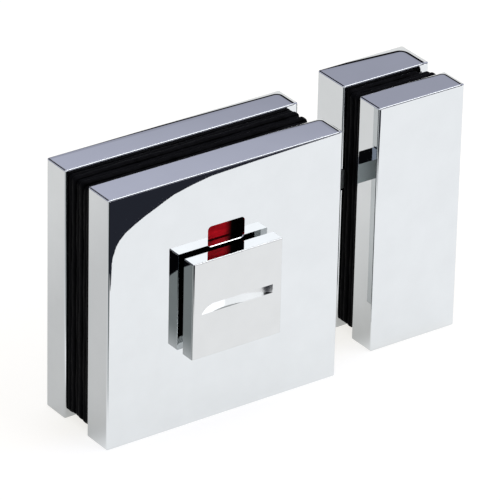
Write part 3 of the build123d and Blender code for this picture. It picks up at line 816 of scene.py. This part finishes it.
def rounded_outline(low, high, radius, step, seed):
    """Points round a sheet, each with its outward direction and how far in it wanders."""
    corners = [
        (high.x - radius, low.z + radius, -quarter_turn),
        (high.x - radius, high.z - radius, 0.0),
        (low.x + radius, high.z - radius, quarter_turn),
        (low.x + radius, low.z + radius, 2 * quarter_turn),
    ]
    points = []
    for number, (x, z, start) in enumerate(corners):
        for arc in range(corner_steps + 1):
            angle = math.radians(start + quarter_turn * arc / corner_steps)
            out = Vector((math.cos(angle), 0.0, math.sin(angle)))
            points.append((Vector((x, 0.0, z)) + out * radius, out))
        next_x, next_z, _ = corners[(number + 1) % len(corners)]
        here, out = points[-1]
        there = Vector((next_x, 0.0, next_z)) + out * radius
        steps = max(2, round((there - here).length / step))
        for along in range(1, steps):
            points.append((here.lerp(there, along / steps), out))
    outline = []
    travelled = 0.0
    for number, (point, out) in enumerate(points):
        if number:
            travelled += (point - points[number - 1][0]).length
        outline.append((point, out, edge_wander(travelled, seed)))
    return outline


def closed_edges(bm, ring):
    """The edges round a closed ring of points, made where they are missing."""
    edges = []
    for number, vert in enumerate(ring):
        following = ring[(number + 1) % len(ring)]
        edges.append(bm.edges.get((vert, following)) or bm.edges.new((vert, following)))
    return edges


def wall(bm, rings):
    """Faces between closed rings of points; returns the edges of the first ring and of the last."""
    count = len(rings[0])
    for first, second in zip(rings, rings[1:]):
        for number in range(count):
            following = (number + 1) % count
            bm.faces.new((first[number], second[number], second[following], first[following]))
    return closed_edges(bm, rings[0]), closed_edges(bm, rings[-1])


def hole_rings(bm, x, z, radius, low_y, high_y, count):
    """The front and the back ring of a round hole."""
    rings = []
    for y in (low_y, high_y):
        angles = [math.tau * number / count for number in range(count)]
        places = [(x + radius * math.cos(angle), y, z + radius * math.sin(angle)) for angle in angles]
        rings.append([bm.verts.new(place) for place in places])
    return rings


def make_sheet(node, holes, seed, material):
    """Models one rubber sheet inside the place of its CAD piece, with a wandering, rounded cut edge."""
    sizes = sheets()
    low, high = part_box(node)
    outline = rounded_outline(low, high, sizes.corner_radius, sizes.edge_step, seed)
    thickness = high.y - low.y
    bm = bmesh.new()
    rings = []
    for depth_share, round_share in rim_profile:
        inset = sizes.edge_round * round_share
        ring = []
        for point, out, wander in outline:
            place = point - out * (inset + sizes.edge_wave * wander)
            ring.append(bm.verts.new((place.x, low.y + thickness * depth_share, place.z)))
        rings.append(ring)
    front_edges, back_edges = wall(bm, rings)
    for x, z, radius in holes:
        front_ring, back_ring = wall(bm, hole_rings(bm, x, z, radius, low.y, high.y, sizes.hole_points))
        front_edges += front_ring
        back_edges += back_ring
    bmesh.ops.triangle_fill(bm, edges=front_edges, use_beauty=True, normal=(0.0, -1.0, 0.0))
    bmesh.ops.triangle_fill(bm, edges=back_edges, use_beauty=True, normal=(0.0, 1.0, 0.0))
    bmesh.ops.recalc_face_normals(bm, faces=bm.faces)
    for face in bm.faces:
        face.smooth = abs(face.normal.y) < flat_face
    for edge in front_edges + back_edges:
        edge.smooth = False
    piece = linked_mesh(f"{node}_cut", f"{node}_moulded", bm, material)
    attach(piece, "casing")
    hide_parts(node)


def linked_mesh(name, mesh_name, bm, material):
    """Puts a finished mesh into the scene as a new object."""
    mesh = bpy.data.meshes.new(mesh_name)
    bm.to_mesh(mesh)
    bm.free()
    mesh.materials.append(material)
    item = bpy.data.objects.new(name, mesh)
    bpy.context.scene.collection.objects.link(item)
    return item


class INDICATORBOLT_OT_rubber_sheets(bpy.types.Operator):
    """Model the rubber sheets that lie between the plates of the lock and the keeper"""

    bl_idname = "indicator_bolt.rubber_sheets"
    bl_label = "Rubber Sheets"

    def execute(self, context):
        sizes = sheets()
        rubber = black_rubber()
        lock_low, lock_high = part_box("front_cover")
        keeper_low, keeper_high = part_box("keeper_front_cover")
        middle_x = (lock_low.x + lock_high.x) / 2
        middle_z = (lock_low.z + lock_high.z) / 2
        reach = sizes.lock_screw_reach
        lock_holes = [(middle_x, middle_z, sizes.spindle_hole_radius)]
        for x in (middle_x - reach, middle_x + reach):
            for z in (middle_z - reach, middle_z + reach):
                lock_holes.append((x, z, sizes.sleeve_hole_radius))
        keeper_x = (keeper_low.x + keeper_high.x) / 2 + sizes.keeper_screw_offset
        keeper_z = (keeper_low.z + keeper_high.z) / 2
        keeper_holes = [
            (keeper_x, keeper_z - sizes.keeper_screw_reach, sizes.sleeve_hole_radius),
            (keeper_x, keeper_z + sizes.keeper_screw_reach, sizes.sleeve_hole_radius),
        ]
        for seed, node in enumerate(lock_sheet_nodes + keeper_sheet_nodes):
            holes = lock_holes if node in lock_sheet_nodes else keeper_holes
            make_sheet(node, holes, seed, rubber)
        return {"FINISHED"}


def make_camera():
    settings = studio()
    data = bpy.data.cameras.new("photograph_camera")
    data.lens = settings.camera_lens
    data.sensor_width = sensor_width
    data.clip_start = nearest_seen
    data.clip_end = farthest_seen
    camera = bpy.data.objects.new("photograph_camera", data)
    turn = (
        Matrix.Rotation(-settings.camera_azimuth, 4, "Z")
        @ Matrix.Rotation(math.pi / 2 - settings.camera_elevation, 4, "X")
        @ Matrix.Rotation(settings.camera_roll, 4, "Z")
    )
    camera.matrix_world = Matrix.Translation(Vector(settings.camera_place)) @ turn
    bpy.context.scene.collection.objects.link(camera)
    bpy.context.scene.camera = camera


def seen_rays(tree):
    """1 for what the camera, metal or glass looks at, 0 for light that only falls on things."""
    mirrored = tree.math("MAXIMUM", tree.ray("Is Camera Ray"), tree.ray("Is Glossy Ray"))
    return tree.math("MAXIMUM", mirrored, tree.ray("Is Transmission Ray"))


def floor_glow(tree):
    """How brightly the floor shows: evenly for the camera, and for metal dimmer behind the object, a painted
    shade.
    """
    place = tree.coordinate("Object")
    begins, ends = dim_begins * millimetre, dim_ends * millimetre
    # Painted shade: for metal the floor dims behind the object and brightens again further back.
    painted_floor_shade = tree.smooth_span(tree.along(place, dim_direction), begins, ends, front_glow, rear_glow)
    begins, ends = far_begins * millimetre, far_ends * millimetre
    risen = tree.span(tree.along(place, far_direction), begins, ends, 0.0, far_glow)
    return tree.mix(tree.ray("Is Camera Ray"), tree.math("ADD", painted_floor_shade, risen), camera_glow)


def floor_tint(tree):
    """The floor is a trace warmer behind the object than in front of it."""
    back = tree.part(tree.coordinate("Object"), "Y")
    behind = tree.span(back, dim_begins * millimetre, dim_ends * millimetre)
    return tree.mix(behind, (*white, 1.0), (*warm_white, 1.0), "RGBA")


def make_floor():
    """A pale floor that keeps the object's shadow and reads as white."""
    settings = studio()
    material = bpy.data.materials.new("pale_floor")
    tree = NodeTree(material, "ShaderNodeOutputMaterial")
    paper = tree.add("ShaderNodeBsdfDiffuse")
    paper.inputs["Color"].default_value = (*settings.floor_colour, 1.0)
    glow = tree.add("ShaderNodeEmission")
    tree.feed(glow.inputs["Color"], floor_tint(tree))
    tree.feed(glow.inputs["Strength"], tree.math("MULTIPLY", seen_rays(tree), floor_glow(tree)))
    both = tree.add("ShaderNodeAddShader")
    tree.feed(both.inputs[0], paper.outputs[0])
    tree.feed(both.inputs[1], glow.outputs[0])
    tree.surface(both.outputs[0])
    bm = bmesh.new()
    bmesh.ops.create_circle(bm, cap_ends=True, radius=settings.floor_radius, segments=floor_sides)
    floor = linked_mesh("floor", "floor", bm, material)


def make_card(name, corners, colour, strength, fades):
    """A card that only polished metal sees, such as the dark end of the table; corners in millimetres."""
    material = bpy.data.materials.new(name)
    tree = NodeTree(material, "ShaderNodeOutputMaterial")
    glow = tree.add("ShaderNodeEmission")
    glow.inputs["Color"].default_value = (*colour, 1.0)
    glow.inputs["Strength"].default_value = strength
    surface = glow.outputs[0]
    for axis, begins, ends in fades:
        place = tree.part(tree.coordinate("Object"), axis)
        clear = tree.add("ShaderNodeBsdfTransparent")
        mix = tree.add("ShaderNodeMixShader")
        tree.feed(mix.inputs["Fac"], tree.smooth_span(place, begins * millimetre, ends * millimetre))
        tree.feed(mix.inputs[1], clear.outputs[0])
        tree.feed(mix.inputs[2], surface)
        surface = mix.outputs[0]
    tree.surface(surface)
    bm = bmesh.new()
    bm.faces.new([bm.verts.new(Vector(corner) * millimetre) for corner in corners])
    bmesh.ops.recalc_face_normals(bm, faces=bm.faces)
    card = linked_mesh(name, name, bm, material)
    card.visible_camera = False
    card.visible_diffuse = False
    card.visible_shadow = False
    card.visible_volume_scatter = False


def make_lamp(name, direction, distance, size, power):
    """A soft lamp that faces the object from a direction and doesn't show in its polished faces."""
    data = bpy.data.lights.new(name, "AREA")
    data.shape = "RECTANGLE"
    data.size, data.size_y = size
    data.energy = power
    lamp = bpy.data.objects.new(name, data)
    towards = Vector(direction).normalized()
    lamp.matrix_world = Matrix.Translation(Vector(lamp_target) + towards * distance) @ (
        towards.to_track_quat("Z", "Y").to_matrix().to_4x4()
    )
    bpy.context.scene.collection.objects.link(lamp)
    lamp.visible_glossy = False


def dark_patch(tree, base, direction, begins, ends):
    """Mixes a soft round dark patch into the surround, in one direction."""
    near = tree.along(tree.coordinate("Generated"), Vector(direction).normalized())
    share = tree.smooth_span(near, math.cos(math.radians(ends)), math.cos(math.radians(begins)))
    return tree.mix(share, base, (*room_black, 1.0), "RGBA")


def make_surround():
    """The room round the table: white for the camera, and greys that the chrome reflects."""
    sky = studio().sky_colour
    heights = [*low_surround]
    heights += [(height, scaled(sky, share)) for height, share in sky_shares]
    heights += [(ceiling_height, ceiling_white)]
    world = bpy.data.worlds.new("surround")
    bpy.context.scene.world = world
    tree = NodeTree(world, "ShaderNodeOutputWorld")
    room = tree.add("ShaderNodeBackground")
    ramp = tree.add("ShaderNodeValToRGB")
    stops = ramp.color_ramp.elements
    stops.remove(stops[-1])
    for number, (height, colour) in enumerate(heights):
        stop = stops.new(height) if number else stops[0]
        stop.position = height
        stop.color = (*colour, 1.0)
    tree.feed(ramp.inputs["Fac"], tree.part(tree.coordinate("Generated"), "Z"))
    greys = ramp.outputs["Color"]
    for direction, begins, ends in dark_patches:
        greys = dark_patch(tree, greys, direction, begins, ends)
    shown = tree.mix(tree.ray("Is Camera Ray"), greys, (*white, 1.0), "RGBA")
    tree.feed(room.inputs["Color"], shown)
    tree.surface(room.outputs[0])


class INDICATORBOLT_OT_studio(bpy.types.Operator):
    """Set up the camera, the pale floor, the surround, the cards and the soft lamps"""

    bl_idname = "indicator_bolt.studio"
    bl_label = "Studio"

    def execute(self, context):
        context.scene.view_settings.view_transform = "Standard"
        make_camera()
        make_floor()
        make_surround()
        for card in cards:
            make_card(*card)
        for name, setting in lamps.items():
            make_lamp(name, *setting)
        return {"FINISHED"}


steps = (
    INDICATORBOLT_OT_covers,
    INDICATORBOLT_OT_outside_turn,
    INDICATORBOLT_OT_indicator,
    INDICATORBOLT_OT_works,
    INDICATORBOLT_OT_rubber_sheets,
    INDICATORBOLT_OT_studio,
)


class INDICATORBOLT_PT_panel(bpy.types.Panel):
    """The steps and settings of the indicator bolt"""

    bl_label = "Indicator Bolt"
    bl_space_type = "VIEW_3D"
    bl_region_type = "UI"
    bl_category = "Indicator Bolt"

    def draw(self, context):
        column = self.layout.column()
        for step in steps:
            column.operator(step.bl_idname)
        for group in (finishes(), sheets(), studio()):
            for name in group.__annotations__:
                column.prop(group, name)


settings_groups = (IndicatorBoltFinishes, IndicatorBoltSheets, IndicatorBoltStudio)


def register():
    for group in settings_groups + steps + (INDICATORBOLT_PT_panel,):
        bpy.utils.register_class(group)
    bpy.types.Scene.indicator_bolt_finishes = PointerProperty(type=IndicatorBoltFinishes)
    bpy.types.Scene.indicator_bolt_sheets = PointerProperty(type=IndicatorBoltSheets)
    bpy.types.Scene.indicator_bolt_studio = PointerProperty(type=IndicatorBoltStudio)


def unregister():
    del bpy.types.Scene.indicator_bolt_studio
    del bpy.types.Scene.indicator_bolt_sheets
    del bpy.types.Scene.indicator_bolt_finishes
    for group in reversed(settings_groups + steps + (INDICATORBOLT_PT_panel,)):
        bpy.utils.unregister_class(group)


def main():
    register()
    bpy.ops.indicator_bolt.covers()
    bpy.ops.indicator_bolt.outside_turn()
    bpy.ops.indicator_bolt.indicator()
    bpy.ops.indicator_bolt.works()
    bpy.ops.indicator_bolt.rubber_sheets()
    bpy.ops.indicator_bolt.studio()


if __name__ == "__main__":
    main()
